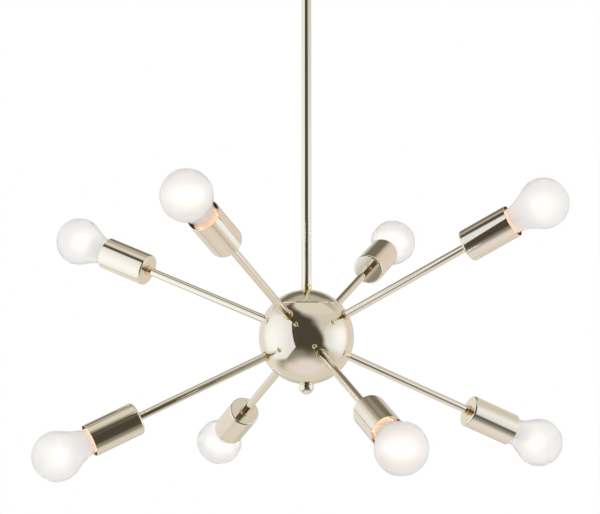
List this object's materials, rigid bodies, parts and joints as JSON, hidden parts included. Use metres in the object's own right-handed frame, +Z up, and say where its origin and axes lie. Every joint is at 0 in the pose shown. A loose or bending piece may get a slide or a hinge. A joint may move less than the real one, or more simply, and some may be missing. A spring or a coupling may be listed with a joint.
{
  "type": "sputnik chandelier",
  "caption": "Sputnik chandelier: a polished ball hub on a down rod with straight arms in two rings, each ending in a cup and a frosted round bulb, under a swivel canopy.",
  "frame": {"origin": "centre of the ceiling bracket's top face, in the plane of the ceiling, on the rod's axis", "axes": "+Z up into the ceiling; the lamp hangs along -Z; +X along the bracket, to the right of the pictured view; -Y towards the viewer"},
  "size_m": [0.6479, 0.6535, 0.7538],
  "materials": {
    "polished_gold": "mirror polished, pale gold plating",
    "zinc_steel": "zinc plated steel",
    "green_screw": "green dyed steel",
    "white_ceramic": "glazed white insulator",
    "contact_brass": "plain brass",
    "frosted_glass": "inside frosted",
    "bulb_base_metal": "drawn aluminium"
  },
  "bodies": {
    "ceiling_plate": {"ceiling_bracket": "zinc_steel", "ground_screw": "green_screw", "canopy": "polished_gold", "canopy_studs": "zinc_steel", "canopy_cap_nuts": "polished_gold", "swivel_stud": "polished_gold", "swivel_nuts": "zinc_steel"},
    "swivel": {"swivel_barrel": "polished_gold", "swivel_pivot_screws": "zinc_steel"},
    "pendant": {"swivel_tongue": "polished_gold", "down_rod": "polished_gold", "rod_collar": "polished_gold", "hub_cap": "polished_gold", "hub_body": "polished_gold", "centre_stem": "zinc_steel", "finial": "polished_gold", "arm_collars": "polished_gold", "lock_nuts": "zinc_steel", "screw_shells": "contact_brass", "contact_tabs": "contact_brass", "arm_upper_front_left": "polished_gold", "arm_upper_front_right": "polished_gold", "arm_upper_back_right": "polished_gold", "arm_upper_back_left": "polished_gold", "arm_lower_front_left": "polished_gold", "arm_lower_front_right": "polished_gold", "arm_lower_back_right": "polished_gold", "arm_lower_back_left": "polished_gold", "cup_upper_front_left": "polished_gold", "cup_upper_front_right": "polished_gold", "cup_upper_back_right": "polished_gold", "cup_upper_back_left": "polished_gold", "cup_lower_front_left": "polished_gold", "cup_lower_front_right": "polished_gold", "cup_lower_back_right": "polished_gold", "cup_lower_back_left": "polished_gold", "lampholder_upper_front_left": "white_ceramic", "lampholder_upper_front_right": "white_ceramic", "lampholder_upper_back_right": "white_ceramic", "lampholder_upper_back_left": "white_ceramic", "lampholder_lower_front_left": "white_ceramic", "lampholder_lower_front_right": "white_ceramic", "lampholder_lower_back_right": "white_ceramic", "lampholder_lower_back_left": "white_ceramic"},
    "bulb_upper_front_left": {"bulb_glass_upper_front_left": "frosted_glass", "bulb_base_upper_front_left": "bulb_base_metal"},
    "bulb_upper_front_right": {"bulb_glass_upper_front_right": "frosted_glass", "bulb_base_upper_front_right": "bulb_base_metal"},
    "bulb_upper_back_right": {"bulb_glass_upper_back_right": "frosted_glass", "bulb_base_upper_back_right": "bulb_base_metal"},
    "bulb_upper_back_left": {"bulb_glass_upper_back_left": "frosted_glass", "bulb_base_upper_back_left": "bulb_base_metal"},
    "bulb_lower_front_left": {"bulb_glass_lower_front_left": "frosted_glass", "bulb_base_lower_front_left": "bulb_base_metal"},
    "bulb_lower_front_right": {"bulb_glass_lower_front_right": "frosted_glass", "bulb_base_lower_front_right": "bulb_base_metal"},
    "bulb_lower_back_right": {"bulb_glass_lower_back_right": "frosted_glass", "bulb_base_lower_back_right": "bulb_base_metal"},
    "bulb_lower_back_left": {"bulb_glass_lower_back_left": "frosted_glass", "bulb_base_lower_back_left": "bulb_base_metal"}
  },
  "joints": [
    {"name": "swivel_turn", "type": "hinge", "parent": "ceiling_plate", "child": "swivel", "pos_m": [0, 0, -0.0278], "axis": [0, 0, 1], "range_deg": [-175, 175]},
    {"name": "swivel_tilt", "type": "hinge", "parent": "swivel", "child": "pendant", "pos_m": [0, 0, -0.0438], "axis": [0, 1, 0], "range_deg": [-45, 45]},
    {"name": "bulb_out_upper_front_left", "type": "slide", "parent": "pendant", "child": "bulb_upper_front_left", "axis": [-0.3851, -0.8221, 0.4195], "range_m": [0, 0.045]},
    {"name": "bulb_out_upper_front_right", "type": "slide", "parent": "pendant", "child": "bulb_upper_front_right", "axis": [0.8078, -0.394, 0.4384], "range_m": [0, 0.045]},
    {"name": "bulb_out_upper_back_right", "type": "slide", "parent": "pendant", "child": "bulb_upper_back_right", "axis": [0.3432, 0.8451, 0.4099], "range_m": [0, 0.045]},
    {"name": "bulb_out_upper_back_left", "type": "slide", "parent": "pendant", "child": "bulb_upper_back_left", "axis": [-0.8509, 0.37, 0.373], "range_m": [0, 0.045]},
    {"name": "bulb_out_lower_front_left", "type": "slide", "parent": "pendant", "child": "bulb_lower_front_left", "axis": [-0.8518, -0.3117, -0.421], "range_m": [0, 0.045]},
    {"name": "bulb_out_lower_front_right", "type": "slide", "parent": "pendant", "child": "bulb_lower_front_right", "axis": [0.2998, -0.8707, -0.3899], "range_m": [0, 0.045]},
    {"name": "bulb_out_lower_back_right", "type": "slide", "parent": "pendant", "child": "bulb_lower_back_right", "axis": [0.862, 0.3378, -0.3778], "range_m": [0, 0.045]},
    {"name": "bulb_out_lower_back_left", "type": "slide", "parent": "pendant", "child": "bulb_lower_back_left", "axis": [-0.3438, 0.8597, -0.3778], "range_m": [0, 0.045]}
  ]
}
